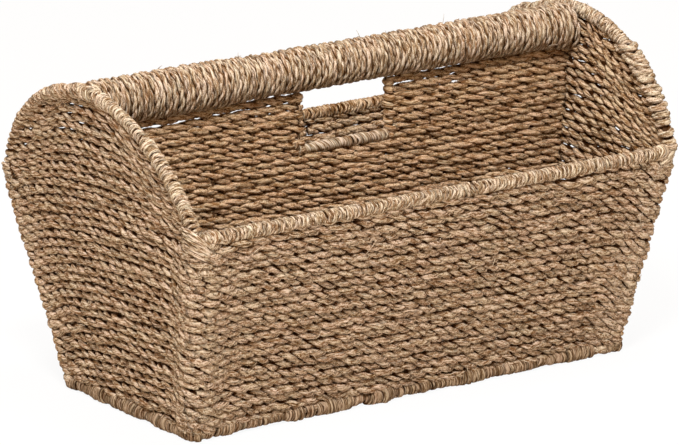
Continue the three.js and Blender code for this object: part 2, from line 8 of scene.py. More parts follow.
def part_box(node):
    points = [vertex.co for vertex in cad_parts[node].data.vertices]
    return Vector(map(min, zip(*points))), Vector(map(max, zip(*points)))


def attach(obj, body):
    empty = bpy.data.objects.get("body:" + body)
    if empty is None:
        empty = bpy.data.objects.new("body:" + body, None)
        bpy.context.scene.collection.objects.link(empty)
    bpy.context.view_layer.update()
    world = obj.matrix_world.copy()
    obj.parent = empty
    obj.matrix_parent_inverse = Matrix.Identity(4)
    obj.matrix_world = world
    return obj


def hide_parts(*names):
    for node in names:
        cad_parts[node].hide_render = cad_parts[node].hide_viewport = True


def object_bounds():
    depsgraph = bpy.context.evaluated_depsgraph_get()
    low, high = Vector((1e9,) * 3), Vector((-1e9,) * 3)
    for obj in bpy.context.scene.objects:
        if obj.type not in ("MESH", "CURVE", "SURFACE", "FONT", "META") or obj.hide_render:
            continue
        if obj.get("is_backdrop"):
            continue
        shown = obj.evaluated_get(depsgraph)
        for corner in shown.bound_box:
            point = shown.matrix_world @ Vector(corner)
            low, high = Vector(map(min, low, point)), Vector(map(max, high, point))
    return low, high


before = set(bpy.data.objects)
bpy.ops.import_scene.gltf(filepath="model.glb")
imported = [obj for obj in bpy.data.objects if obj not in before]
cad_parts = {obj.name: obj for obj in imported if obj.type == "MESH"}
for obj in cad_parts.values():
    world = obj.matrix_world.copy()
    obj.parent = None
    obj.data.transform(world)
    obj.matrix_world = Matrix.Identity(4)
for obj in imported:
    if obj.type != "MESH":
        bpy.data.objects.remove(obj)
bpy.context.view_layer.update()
seed = 11
dice = np.random.default_rng(seed)
MM = 0.001
full_turn = 2 * math.pi
quarter_turn = math.pi / 2
to_left = (-1.0, 0.0, 0.0)
to_right = (1.0, 0.0, 0.0)
to_front = (0.0, -1.0, 0.0)
upward = (0.0, 0.0, 1.0)
wall_names = ("front", "right", "rear", "left")

# Main sizes, taken between the centre lines of the wires
base_half_length = 0.194
base_half_depth = 0.091
rim_half_length = 0.2145
rim_half_depth = 0.1415
rim_rise = 0.1645
arch_height = 0.0887
frame_radius = 0.00225
wall_half = 0.0052
window_left = -0.033
window_right = 0.045
window_height = 0.040
sill_drop = 0.00445
handle_radius = 0.01865
core_radius = 0.0136

# Places worked out from the frame
low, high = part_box("base_frame")
base_z = (low.z + high.z) / 2
rim_z = base_z + rim_rise
low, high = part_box("handle_rod")
handle_z = (low.z + high.z) / 2
apex_z = rim_z + arch_height
end_flare = (rim_half_length - base_half_length) / rim_rise
side_flare = (rim_half_depth - base_half_depth) / rim_rise
end_tilt = math.atan(end_flare)
side_tilt = math.atan(side_flare)
low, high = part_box("divider_wall")
divider_bottom = low.z
divider_top = high.z
sill_z = handle_z - handle_radius - window_height - sill_drop

# The arch is an arc in the end wall's own plane, here by heights along that plane
rim_along = rim_rise / math.cos(end_tilt)
apex_along = (rim_rise + arch_height) / math.cos(end_tilt)
arch_sagitta = apex_along - rim_along
arch_radius = (rim_half_depth ** 2 + arch_sagitta ** 2) / (2 * arch_sagitta)
arch_centre = apex_along - arch_radius

# Rope radii, the height of a course and the length of rope that one full twist takes
wall_rope = 4.15 * MM
left_rope = 3.95 * MM
right_rope = 3.8 * MM
divider_rope = 3.75 * MM
floor_rope = 3.7 * MM
handle_rope = 2.75 * MM
wall_course = 6.86 * MM
divider_course = 6.0 * MM
wall_lay = 25 * MM
end_lay = 27 * MM
divider_lay = 30 * MM
handle_lay = 24 * MM

# A rope's two plies in shares of its radius: how far out they lie, half their height, half their width
wall_ply = (0.43, 0.54, 0.62)
divider_ply = (0.43, 0.54, 0.74)
cord_ply = (0.35, 0.60, 0.74)
handle_ply = (0.42, 0.54, 0.66)
ply_twist = 0.5
ply_squareness = 0.85

# How a hand-made rope varies: by how much, and over what length of it
lay_range = (0.88, 1.14)
turn_play = 0.08
turn_play_lays = 1.1
body_play = (0.035, 30 * MM)
swell_play = (0.09, 11 * MM)
bump_play = (0.07, 4.5 * MM)
shake_play = (0.09, 6 * MM)
ply_tone_play = (0.5, 14 * MM)
tone_spread = 0.2
core_play_length = 4 * MM
core_sides = 4
core_thin = 1.0 * MM
even_core = 0.08
loose_core = 0.19

# The stakes of a wall part it into bays; a course passes before one stake and behind the next
front_bays = 10
end_bays = 6
weave_swing = 0.6 * MM
step = 2.0 * MM
corner_steps = 5
ground_gap = 0.1 * MM
fibre_spread = 400
spare_knots = 4


def half_length(z):
    return base_half_length + end_flare * (z - base_z)


def half_depth(z):
    return base_half_depth + side_flare * (z - base_z)


def unit(v):
    return v / np.maximum(np.linalg.norm(v, axis=-1, keepdims=True), 1e-12)


def ease(x):
    x = np.clip(x, 0, 1)
    return x * x * (3 - 2 * x)


def bell(distance, width):
    return np.exp(-(distance / width) ** 2)


# Smooth random values along a run, about one change in each length given
def wander(along, length):
    count = int((along.max() - along.min()) / length) + spare_knots
    knots = dice.normal(0, 1, count)
    place = (along - along.min()) / length + dice.uniform(0, 1)
    i = np.floor(place).astype(int)
    f = ease(place - i)
    return knots[i] * (1 - f) + knots[i + 1] * f


def vary(along, size, length):
    return size * wander(along, length)


def run_length(points):
    return np.concatenate([[0], np.cumsum(np.linalg.norm(np.diff(points, axis=0), axis=1))])


def frames(points, outward):
    way = unit(np.gradient(points, axis=0))
    out = unit(outward - (outward * way).sum(1, keepdims=True) * way)
    return way, out, np.cross(way, out)


def facing(direction, points):
    return np.tile(direction, (len(points), 1))


# A piece gathers tubes and becomes one mesh
class Strands:
    def __init__(self):
        self.points, self.fibres, self.tones, self.shade_depths = [], [], [], []
        self.loops, self.totals, self.smooth = [], [], []
        self.count = 0

    # For its colour a tube keeps the place in its fibres, a tone and how far out from the axis each point is,
    # which sets its painted crevice shade
    def tube(self, centre, first, second, wide, high, sides, along, tone, axis, out, reach, both=False,
             grain=None):
        rings = len(centre)
        angle = full_turn * (np.arange(sides) + 0.5) / sides
        c, s = np.cos(angle)[None, :, None], np.sin(angle)[None, :, None]
        c, s = (np.sign(v) * np.abs(v) ** ply_squareness for v in (c, s))
        wide = np.broadcast_to(wide, rings)[:, None, None]
        high = np.broadcast_to(high, rings)[:, None, None]
        points = centre[:, None, :] + wide * c * first[:, None, :] + high * s * second[:, None, :]
        points[..., 2] = np.maximum(points[..., 2], ground_gap)
        depth = ((points - axis[:, None, :]) * out[:, None, :]).sum(2) / np.reshape(reach, (-1, 1))
        if both:
            depth = np.abs(depth)
        offset = dice.uniform(0, fibre_spread, 3)
        spread = points - centre[:, None, :]
        grain_first, grain_second = grain if grain else (first, second)
        fibre = np.empty((rings, sides, 3))
        fibre[..., 0] = (along / MM)[:, None] + offset[0]
        fibre[..., 1] = (spread * grain_first[:, None, :]).sum(2) / MM + offset[1]
        fibre[..., 2] = (spread * grain_second[:, None, :]).sum(2) / MM + offset[2]
        self.points.append(points.reshape(-1, 3))
        self.fibres.append(fibre.reshape(-1, 3))
        self.tones.append(np.repeat(tone, sides))
        self.shade_depths.append(depth.ravel())
        grid = self.count + np.arange(rings * sides).reshape(rings, sides)
        turned = np.roll(grid, -1, axis=1)
        quads = np.stack([grid[:-1], turned[:-1], turned[1:], grid[1:]], axis=-1)
        self.loops.append(quads.ravel())
        self.totals.append(np.full((rings - 1) * sides, 4))
        self.loops.append(grid[0][::-1])
        self.loops.append(grid[-1])
        self.totals.append(np.array([sides, sides]))
        self.smooth.append(np.arange((rings - 1) * sides + 2) < (rings - 1) * sides)
        self.count += rings * sides

    def build(self, name, material, slot, *nodes):
        mesh = bpy.data.meshes.new(name)
        points = np.concatenate(self.points)
        loops = np.concatenate(self.loops)
        totals = np.concatenate(self.totals)
        mesh.vertices.add(len(points))
        mesh.vertices.foreach_set("co", points.astype(np.float32).ravel())
        mesh.loops.add(len(loops))
        mesh.loops.foreach_set("vertex_index", loops.astype(np.int32))
        mesh.polygons.add(len(totals))
        starts = np.concatenate([[0], np.cumsum(totals)[:-1]])
        mesh.polygons.foreach_set("loop_start", starts.astype(np.int32))
        mesh.polygons.foreach_set("use_smooth", np.concatenate(self.smooth))
        mesh.update(calc_edges=True)
        fibre = mesh.attributes.new("fibre", "FLOAT_VECTOR", "POINT")
        fibre.data.foreach_set("vector", np.concatenate(self.fibres).astype(np.float32).ravel())
        for key, values in (("tone", self.tones), ("depth", self.shade_depths)):
            layer = mesh.attributes.new(key, "FLOAT", "POINT")
            layer.data.foreach_set("value", np.concatenate(values).astype(np.float32))
        mesh.materials.append(material)
        piece = bpy.data.objects.new(name, mesh)
        bpy.context.scene.collection.objects.link(piece)
        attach(piece, "root")
        if nodes:
            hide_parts(*nodes)


# Loose ends of fibre: about one in each such length of rope, none in the outermost rings of a stretch
stray_every = 260 * MM
stray_margin = 2
stray_length = (4 * MM, 13 * MM)
stray_radius = 0.34 * MM
stray_taper = 0.6
stray_rings = 6
stray_sides = 4
stray_angle = 0.7
stray_bend = 0.35
stray_lift = (-0.3, 0.35)
stray_outer_share = 0.6
stray_seat = 0.98
stray_aside = 0.35
stray_hump = 0.8 * MM
stray_tone = 4.0


# A loose end of fibre that lies on a rope and lifts off it
def add_stray(strands, place, out, way, radius, tone):
    length = dice.uniform(*stray_length)
    side = np.cross(way, out)
    angle = dice.normal(0, stray_angle) + (0 if dice.uniform() < 0.5 else math.pi)
    heading = way * math.cos(angle) + side * math.sin(angle)
    aside = way * -math.sin(angle) + side * math.cos(angle)
    bend = dice.normal(0, stray_bend) * aside + dice.uniform(*stray_lift) * out
    t = np.linspace(0, 1, stray_rings)[:, None]
    face = 1 if dice.uniform() < stray_outer_share else -1
    start = place + face * out * radius * stray_seat + side * dice.normal(0, stray_aside) * radius
    points = start + length * (t * heading + t * t * bend) + (1 - t) * t * face * out * stray_hump
    first = unit(np.cross(heading, out))
    second = np.cross(heading, first)
    thick = stray_radius * (1 - stray_taper * t[:, 0])
    strands.tube(points, facing(first, points), facing(second, points), thick, thick, stray_sides,
                 t[:, 0] * length, np.full(stray_rings, tone + stray_tone), points - out, facing(out, points),
                 MM, True)


# A two-ply rope along a run of points, parted into stretches for several pieces
def lay_rope(stretches, points, outward, radius, lay, sides=7, both=True, tone=0.0, core=0.0,
             shape=wall_ply, core_depth=core_thin, core_play=even_core):
    count = len(points)
    along = run_length(points)
    ply_reach, ply_high, ply_wide = shape
    way, out, side = frames(points, outward)
    lay = np.broadcast_to(lay, count) * dice.uniform(*lay_range)
    twists = np.concatenate([[0], np.cumsum(np.diff(along) / lay[1:])])
    turn = full_turn * (twists + vary(along, turn_play, turn_play_lays * lay.mean()) + dice.uniform(0, 1))
    radius = np.broadcast_to(radius, count)
    ply_wide = np.broadcast_to(ply_wide, count)
    body = radius * (1 + vary(along, *body_play))
    row_tone = np.broadcast_to(tone, count) + dice.normal(0, tone_spread)
    for strands, first, last in stretches:
        for place in range(first + stray_margin, last - stray_margin):
            if dice.uniform() < (along[place] - along[place - 1]) / stray_every:
                add_stray(strands, points[place], out[place], way[place], radius[place], row_tone[place])
    back = -ply_twist * turn[:, None]
    grain = (np.cos(back) * out + np.sin(back) * side, np.cos(back) * side - np.sin(back) * out)
    cuts = [(strands, slice(first, last)) for strands, first, last in stretches if last - first >= 2]
    # the fibres between the plies, which close the weave; their dark colour is painted shade, set by a depth
    # near -1
    if np.any(core > 0):
        core = np.broadcast_to(core, count) * (1 + vary(along, core_play, core_play_length))
        core_depth = np.broadcast_to(core_depth, count)
        none = np.zeros(count)
        for strands, cut in cuts:
            strands.tube(points[cut], out[cut], side[cut], core_depth[cut], core[cut], core_sides,
                         along[cut], none[cut], points[cut] + out[cut], out[cut], 1.0)
    # each ply's depth out from the rope's axis gives it painted shade where it lies deep, between the rows
    for ply in (0, math.pi):
        c, s = np.cos(turn + ply)[:, None], np.sin(turn + ply)[:, None]
        spoke = c * out + s * side
        edge = -s * out + c * side
        swell = 1 + vary(along, *swell_play) + vary(along, *bump_play)
        shake = vary(along, *shake_play)
        centre = points + (ply_reach * body * (2 - swell))[:, None] * spoke + (shake * body)[:, None] * edge
        ply_tone = row_tone + vary(along, *ply_tone_play) + dice.normal(0, tone_spread)
        for strands, cut in cuts:
            strands.tube(centre[cut], spoke[cut], edge[cut], ply_high * (body * swell)[cut],
                         (ply_wide * body * swell)[cut], sides, along[cut], ply_tone[cut], points[cut],
                         out[cut], radius[cut], both, [v[cut] for v in grain])


# How a winding varies: by how much, and over how many of its turns
least_rings = 8
cord_steps = 18
cord_sides = 8
cord_slant_start = 1.0
cord_slant_play = (0.8, 5)
cord_clump_turns = 1.7
cord_tilt_play = (0.6, 2.5)
cord_gap_play = (0.12, 0.6)
cord_rise_play = (0.20, 0.9)
cord_bump_turns = 4
cord_wide_play = (0.14, 1.1)
cord_tone_play = (0.6, 2)
cord_fine_tone_play = (0.4, 0.7)
rope_steps = 22
rope_gap_play = (0.16, 1.2)
rope_tilt = 0.5
rope_tilt_play = (0.5, 4.5)
rope_reach_play = (0.12, 0.8)
least_across = 0.5


def vary_turns(place, pitch, size, turns):
    return size * wander(place, turns * pitch)


# The rings of a winding: their even places along the run and their angles round it
def wind(total, pitch, steps):
    phase = np.linspace(0, 1, max(least_rings, int(total / pitch * steps)))
    turn = full_turn * total / pitch * phase + dice.uniform(0, full_turn)
    return phase * total, turn


def read_at(place, along, values):
    return np.stack([np.interp(place, along, values[:, i]) for i in range(3)], axis=1)


# The axis under each ring of a winding, and the spoke from there to the ring
def spokes_at(place, turn, along, points, out, side):
    axis, out, side = (read_at(place, along, values) for values in (points, out, side))
    return axis, np.cos(turn)[:, None] * unit(out) + np.sin(turn)[:, None] * unit(side)


# A flat cord wound round a run of points, with its turns a pitch apart
def wind_cord(strands, points, outward, bore, half_wide, half_high, pitch, clump=0.0, tilt=0.0, bumps=0.16):
    along = run_length(points)
    spread, turn = wind(along[-1], pitch, cord_steps)
    slant = np.sin(turn + cord_slant_start + vary_turns(spread, pitch, *cord_slant_play))
    place = spread + clump * pitch * wander(spread, cord_clump_turns * pitch)
    place = place + tilt * pitch * (1 + vary_turns(place, pitch, *cord_tilt_play)) * slant
    place = np.clip(place + pitch * vary_turns(place, pitch, *cord_gap_play), 0, along[-1])
    axis, spoke = spokes_at(place, turn, along, points, *frames(points, outward)[1:])
    rise = 1 + vary_turns(spread, pitch, *cord_rise_play) + vary_turns(spread, pitch, bumps, cord_bump_turns)
    centre = axis + (bore + half_high * rise)[:, None] * spoke
    run = unit(np.gradient(centre, axis=0))
    across = np.cross(run, spoke)
    wide = half_wide * (1 + vary_turns(spread, pitch, *cord_wide_play))
    tone = vary_turns(spread, pitch, *cord_tone_play) + vary_turns(spread, pitch, *cord_fine_tone_play)
    # the turn's depth along its spoke gives its inner side, towards the wire, painted shade
    strands.tube(centre, spoke, -across, half_high * rise, wide, cord_sides, run_length(centre), tone, centre,
                 spoke, half_high)


# A rope wound round a run of points; with a row given, its turns lean until they lie along the wall's rows
def wind_rope(strands, points, outward, bore, rope, lay, pitch, flat, tone=0.0, row=None):
    along = run_length(points)
    spread, turn = wind(along[-1], pitch, rope_steps)
    place = spread + pitch * vary_turns(spread, pitch, *rope_gap_play)
    rope = np.interp(spread, along, np.broadcast_to(rope, len(points)))
    way, out, side = frames(points, outward)
    if row is None:
        tilt = rope_tilt + vary_turns(spread, pitch, *rope_tilt_play)
        place = place + tilt * pitch * np.sin(turn + cord_slant_start)
    else:
        across = (side * row).sum(1)
        lean = np.interp(place, along, (way * row).sum(1) / np.maximum(np.abs(across), least_across))
        lean = lean * np.sign(np.interp(place, along, across))
        place = place + (bore + flat * rope) * lean * np.sin(turn)
    axis, spoke = spokes_at(np.clip(place, 0, along[-1]), turn, along, points, out, side)
    reach = bore + flat * rope * (1 + vary_turns(spread, pitch, *rope_reach_play))
    lay_rope([(strands, 0, len(spread))], axis + reach[:, None] * spoke, spoke, rope, lay, both=False,
             tone=tone, shape=cord_ply)


# The fibre's patterns: how they are drawn out along it, and what each adds to the level of the colour
strand_stretch = (0.14, 1.0, 1.0)
blotch_stretch = (0.05, 0.35, 0.35)
groove_stretch = (0.06, 1.0, 1.0)
groove_shift = (31.0, 17.0, 5.0)
tone_gain = 0.07
strand_gain = 5.0
strand_offset = -2.00
blotch_gain = 0.3
blotch_offset = -0.15


# Each input of a shader node is given a value, or another node's output, which is linked
def set_inputs(node, inputs):
    for key, value in inputs.items():
        if isinstance(value, bpy.types.NodeSocket):
            node.id_data.links.new(value, node.inputs[key])
        else:
            node.inputs[key].default_value = value


def add_node(tree, kind, inputs=None, output=0, **settings):
    made = tree.nodes.new(kind)
    for key, value in settings.items():
        setattr(made, key, value)
    set_inputs(made, inputs or {})
    return made.outputs[output]


# A ramp's first two stops are its own, and a third one is added
def add_ramp(tree, level, *stops):
    colour = add_node(tree, "ShaderNodeValToRGB", {"Fac": level}, "Color")
    elements = colour.node.color_ramp.elements
    for i, (position, shade) in enumerate(stops):
        element = elements[i] if i < 2 else elements.new(position)
        element.position = position
        element.color = (*shade, 1)
    return colour


def new_material(name):
    material = bpy.data.materials.new(name)
    material.use_nodes = True
    return material, material.node_tree


def fibre_material(name, pale, middle, dark, crevice_shade, shade_from, shade_to):
    material, tree = new_material(name)

    def attribute(key, output):
        return add_node(tree, "ShaderNodeAttribute", output=output, attribute_name=key)

    def noise(vector, scale, detail, roughness=0.5):
        inputs = {"Vector": vector, "Scale": scale, "Detail": detail, "Roughness": roughness}
        return add_node(tree, "ShaderNodeTexNoise", inputs, "Fac")

    def vector_math(operation, inputs):
        return add_node(tree, "ShaderNodeVectorMath", inputs, "Vector", operation=operation)

    def mix(kind, factor, a, b):
        inputs = {"Factor": factor, "A": a, "B": b}
        return add_node(tree, "ShaderNodeMix", inputs, "Result", data_type="RGBA", blend_type=kind)

    def spread(value, value_from, value_to, lowest, kind="SMOOTHSTEP"):
        inputs = {"Value": value, "From Min": value_from, "From Max": value_to, "To Min": lowest}
        return add_node(tree, "ShaderNodeMapRange", inputs, "Result", interpolation_type=kind)

    def sum_of(first, first_gain, second, second_gain, constant):
        part = constant
        for value, gain in ((first, first_gain), (second, second_gain)):
            part = add_node(tree, "ShaderNodeMath", {0: value, 1: gain, 2: part}, operation="MULTIPLY_ADD")
        return part

    fibre = attribute("fibre", "Vector")
    depth = attribute("depth", "Fac")
    strand = noise(vector_math("MULTIPLY", {0: fibre, 1: strand_stretch}), 0.9, 3.0, 0.72)
    patch = vector_math("MULTIPLY", {0: fibre, 1: blotch_stretch})
    level = sum_of(attribute("tone", "Fac"), tone_gain, strand, strand_gain, strand_offset)
    level = sum_of(level, 1.0, noise(patch, 1.0, 2.0), blotch_gain, blotch_offset)
    straw = add_ramp(tree, level, (0.12, dark), (0.88, pale), (0.48, middle))
    # a slow drift between a redder and a greener straw
    tint = add_ramp(tree, noise(patch, 0.55, 1.0), (0.36, (1.03, 0.985, 0.97)), (0.64, (0.99, 1.005, 0.95)))
    tinted = mix("MULTIPLY", 1.0, straw, tint)
    # dark grooves between bundles of fibre
    shifted = vector_math("MULTIPLY_ADD", {0: fibre, 1: groove_stretch, 2: groove_shift})
    line = spread(noise(shifted, 0.8, 1.0), 0.36, 0.47, 0.45)
    grooved = vector_math("SCALE", {0: tinted, "Scale": line})
    # painted shade: the crevice colour near the rope's axis, where rows and plies shade each other, and
    # darker still in the core, at depth -1
    shaded = mix("MIX", spread(depth, shade_from, shade_to, 0.0), (*crevice_shade, 1), grooved)
    shown = vector_math("SCALE", {0: shaded, "Scale": spread(depth, -1.0, -0.6, 0.4, "LINEAR")})
    bump = add_node(tree, "ShaderNodeBump", {"Strength": 1.0, "Distance": 1.2 * MM, "Height": strand})
    set_inputs(tree.nodes["Principled BSDF"], {
        "Base Color": shown, "Normal": bump, "Roughness": 0.78, "Specular IOR Level": 0.06,
    })
    return material


# Each look's crevice colour is painted shade, faded in between its two depths
rope_look = fibre_material(
    "seagrass_rope", pale=(0.66, 0.515, 0.38), middle=(0.43, 0.29, 0.178), dark=(0.17, 0.078, 0.027),
    crevice_shade=(0.07, 0.020, 0.001), shade_from=0.15, shade_to=0.54,
)
right_look = fibre_material(
    "right_rope", pale=(0.68, 0.50, 0.335), middle=(0.445, 0.28, 0.15), dark=(0.17, 0.073, 0.021),
    crevice_shade=(0.075, 0.022, 0.002), shade_from=0.12, shade_to=0.54,
)
divider_look = fibre_material(
    "divider_rope", pale=(0.69, 0.49, 0.315), middle=(0.485, 0.295, 0.155), dark=(0.205, 0.09, 0.028),
    crevice_shade=(0.09, 0.028, 0.003), shade_from=0.06, shade_to=0.44,
)
cord_look = fibre_material(
    "binding_cord", pale=(0.70, 0.57, 0.43), middle=(0.46, 0.335, 0.215), dark=(0.20, 0.105, 0.045),
    crevice_shade=(0.10, 0.036, 0.008), shade_from=-0.2, shade_to=0.6,
)
base_look = fibre_material(
    "base_cord", pale=(0.42, 0.305, 0.205), middle=(0.24, 0.152, 0.085), dark=(0.085, 0.04, 0.015),
    crevice_shade=(0.07, 0.024, 0.005), shade_from=-0.15, shade_to=0.5,
)
handle_look = fibre_material(
    "handle_rope", pale=(0.66, 0.53, 0.40), middle=(0.44, 0.305, 0.19), dark=(0.19, 0.095, 0.038),
    crevice_shade=(0.11, 0.040, 0.008), shade_from=-0.2, shade_to=0.5,
)

# The courses lean, highest at the front left corner: their shifts at the corners, in full at mid height
front_left_shift = 9 * MM
front_right_shift = -8 * MM
rear_right_shift = -2 * MM
rear_left_gain = 3 * MM
left_end_shift = 3 * MM
left_end_gain = 3 * MM
left_front_loss = 3 * MM
left_rear_loss = 0.5
over_from = 0.85
over_length = 0.35
least_shift = 0.7
highest_share = 1.6
rear_slope = 0.155
rear_fall_power = 1.3


def course_shift(side, share, z):
    t = np.clip((z - base_z) / rim_rise, 0, highest_share)
    body = least_shift + (1 - least_shift) * np.sin(math.pi * np.clip(t, 0, 1))
    rear_drop = rear_slope / rear_fall_power * half_depth(np.minimum(z, rim_z))
    from_start = (share + 1) / 2
    if side == "front":
        return body * np.where(share < 0, -front_left_shift * share, front_right_shift * share)
    if side == "right":
        return body * (front_right_shift + (rear_right_shift - front_right_shift) * from_start)
    if side == "rear":
        return rear_right_shift * body + (rear_left_gain - rear_drop) * from_start
    rearward = np.clip(share, 0, 1)
    forward = np.clip(-share, 0, 1)
    middle = left_end_shift + left_end_gain * np.clip(t, 0, 1)
    front = middle + (front_left_shift - middle) * forward
    under = np.where(share > 0, middle * (1 - left_rear_loss * rearward), front)
    over = middle - left_front_loss * forward
    mix = ease((t - over_from) / over_length)
    return body * (under * (1 - mix) + over * mix) - rear_drop * rearward ** rear_fall_power


# Samples round the basket: side, place in half lengths and half depths, outward direction, share and bay
def perimeter():
    runs = [
        ("front", front_bays, rim_half_length, lambda u: (u, -1), (0, -1)),
        ("right", end_bays, rim_half_depth, lambda u: (1, u), (1, 0)),
        ("rear", front_bays, rim_half_length, lambda u: (-u, 1), (0, 1)),
        ("left", end_bays, rim_half_depth, lambda u: (-1, -u), (-1, 0)),
    ]
    names, samples = [], []
    done = 0
    for index, (name, bays, half, place, normal) in enumerate(runs):
        for u in np.linspace(-1, 1, int(2 * half / step)):
            names.append(name)
            samples.append((*place(u), *normal, u, done + bays * (u + 1) / 2))
        done += bays
        start = math.atan2(normal[1], normal[0])
        next_name = runs[(index + 1) % len(runs)][0]
        for i in range(corner_steps):
            angle = start + (i + 1) / (corner_steps + 1) * quarter_turn
            before = i < corner_steps / 2
            names.append(name if before else next_name)
            samples.append((*place(1), math.cos(angle), math.sin(angle), 1 if before else -1, done))
    return np.array(names), *np.array(samples, dtype=float).T


sides, pa, pb, nx, ny, share, bay = perimeter()
total = len(sides)

# Corners: their reach in bays, how far they stand out, and how the rope there is lower, thicker and paler
corner_bays = np.cumsum([0, front_bays, end_bays, front_bays, end_bays])
corner_reach = 0.22
corner_wide_reach = 0.55
bulge_reach = 0.35
corner_bulges = (2.6 * MM, 1.3 * MM, 1.9 * MM, 0.6 * MM, 2.6 * MM)
corner_wave = 1.9
corner_bend = 5.5 * MM
corner_dip = 4.5 * MM
dip_from = 4 * MM
dip_length = 26 * MM
corner_thicker = 0.18
corner_wider = 0.1
corner_tone = 1.5
corner_core_depth = 1.6 * MM
corner_bay = np.abs(bay[:, None] - corner_bays).min(1)
at_corner = bell(corner_bay, corner_reach)
near_corner = bell(corner_bay, corner_wide_reach)
corner_bulge = sum(out * bell(bay - place, bulge_reach) for place, out in zip(corner_bays, corner_bulges))

# Walls: the first course's height over the base ring, the limits of the weave, and how the rows vary
course_foot = 4.0 * MM
weave_foot = 0.5 * MM
rim_gap = 1.0 * MM
wall_limit = rim_z - 5.0 * MM
courses_below = 4
courses_above = 9
wall_bulge = 1.2 * MM
bulge_top = 2 * MM
bulge_length = 14 * MM
row_play = (0.5 * MM, 22 * MM)
push_play = (0.25 * MM, 18 * MM)
row_smoothing = 9
side_smoothing = 5
seam_reach = 0.85
passing_reach = 3

# For each side: rope, lay, a ply's half width, and how high and uneven the fibres between the rows are
side_rope = {"front": wall_rope, "right": right_rope, "rear": wall_rope, "left": left_rope}
side_lay = {"front": wall_lay, "right": end_lay, "rear": wall_lay, "left": end_lay}
side_ply = {"front": 0.76, "right": 0.65, "rear": 0.76, "left": 0.65}
side_core = {"front": 0.58, "right": 0.68, "rear": 0.73, "left": 0.51}
side_core_play = {"front": even_core, "right": loose_core, "rear": even_core, "left": even_core}


def by_side(on_side, values):
    return sum((on_side == name) * value for name, value in values.items())


def shift_round(z):
    out = np.zeros(total)
    for name in wall_names:
        mask = sides == name
        rearward = -share if name == "left" else share
        out[mask] = course_shift(name, rearward[mask], z[mask])
    return out


def smooth(padded, width):
    kernel = np.hanning(2 * width + 1)
    return np.convolve(padded, kernel / kernel.sum(), "valid")


def smooth_round(values, width):
    return smooth(np.concatenate([values[-width:], values, values[:width]]), width)


# First and past-the-last index of each unbroken run of true values
def runs_of(inside):
    return np.flatnonzero(np.diff(np.concatenate([[0], inside.astype(int), [0]]))).reshape(-1, 2)


# The walls, one rope for each course all the way round
wall_pieces = {name: Strands() for name in wall_names}
seams = np.flatnonzero((sides == "rear") & (np.abs(share) < seam_reach))
distance = np.arange(total) * step
normal_round = unit(np.stack([
    nx * math.cos(end_tilt), ny * math.cos(side_tilt),
    -(np.abs(nx) * math.sin(end_tilt) + np.abs(ny) * math.sin(side_tilt)),
], axis=1))
for course in range(-courses_below, int(rim_rise / wall_course) + courses_above):
    level = base_z + course_foot + (course + 0.5) * wall_course
    z = smooth_round(level + shift_round(np.full(total, level)), row_smoothing)
    z = z + vary(distance, *row_play)
    z = z - corner_dip * near_corner * ease((z - base_z - dip_from) / dip_length)
    wave = (-1) ** course * np.cos(math.pi * bay) * (1 - at_corner) + corner_wave * at_corner
    push = weave_swing * wave + vary(distance, *push_play)
    push = push + (wall_bulge + corner_bulge) * ease((rim_z + bulge_top - z) / bulge_length)
    length, depth = half_length(z) - corner_bend, half_depth(z) - corner_bend
    flat = np.stack([pa * length + corner_bend * nx, pb * depth + corner_bend * ny, z], axis=1)
    points = flat + push[:, None] * normal_round
    seam = int(dice.choice(seams))
    points, normal, z = (np.roll(v, -seam, axis=0) for v in (points, normal_round, z))
    at, near = np.roll(at_corner, -seam), np.roll(near_corner, -seam)
    # each course passes from one side's piece to the next at a place of its own near the corner
    on_side = np.roll(sides, int(dice.integers(-passing_reach, passing_reach + 1)) - seam)
    # a stretch for each side, where the course lies between the base ring and the rim
    stretches = []
    for name in wall_names:
        top = rim_z - rim_gap if name in ("front", "rear") else wall_limit
        inside = (on_side == name) & (z > base_z + weave_foot) & (z < top)
        for first, last in runs_of(inside):
            stretches.append((wall_pieces[name], first, min(last + 1, total)))
    if stretches:
        thick = by_side(on_side, side_rope) * (1 + corner_thicker * near)
        wide = by_side(on_side, side_ply) + corner_wider * near
        core = by_side(on_side, side_core) * wall_course
        thick, wide, core = (smooth_round(v, side_smoothing) for v in (thick, wide, core))
        lay_rope(stretches, points, normal, thick, by_side(on_side, side_lay), core=core,
                 shape=(wall_ply[0], wall_ply[1], wide), core_depth=core_thin + corner_core_depth * at,
                 tone=corner_tone * near, core_play=by_side(on_side, side_core_play))

# The end walls over the rim, filled with courses that bend down beside the arch
arch_bend = 11 * MM
bend_from = 8 * MM
bend_length = 45 * MM
bend_share = 0.35
least_span = 40 * MM
span_below_apex = 6 * MM
panel_overlap = 1.6 * MM
arch_gap = 1.0 * MM
bays_up_to = 20 * MM
least_samples = 5
panel_play = (0.35 * MM, 25 * MM)


def arch_half(along):
    return np.sqrt(np.maximum(arch_radius ** 2 - (along - arch_centre) ** 2, 0))


def panel_half(z):
    along = (z - base_z) / math.cos(end_tilt)
    return np.minimum(half_depth(z), np.where(along > arch_centre, arch_half(along), rim_half_depth))


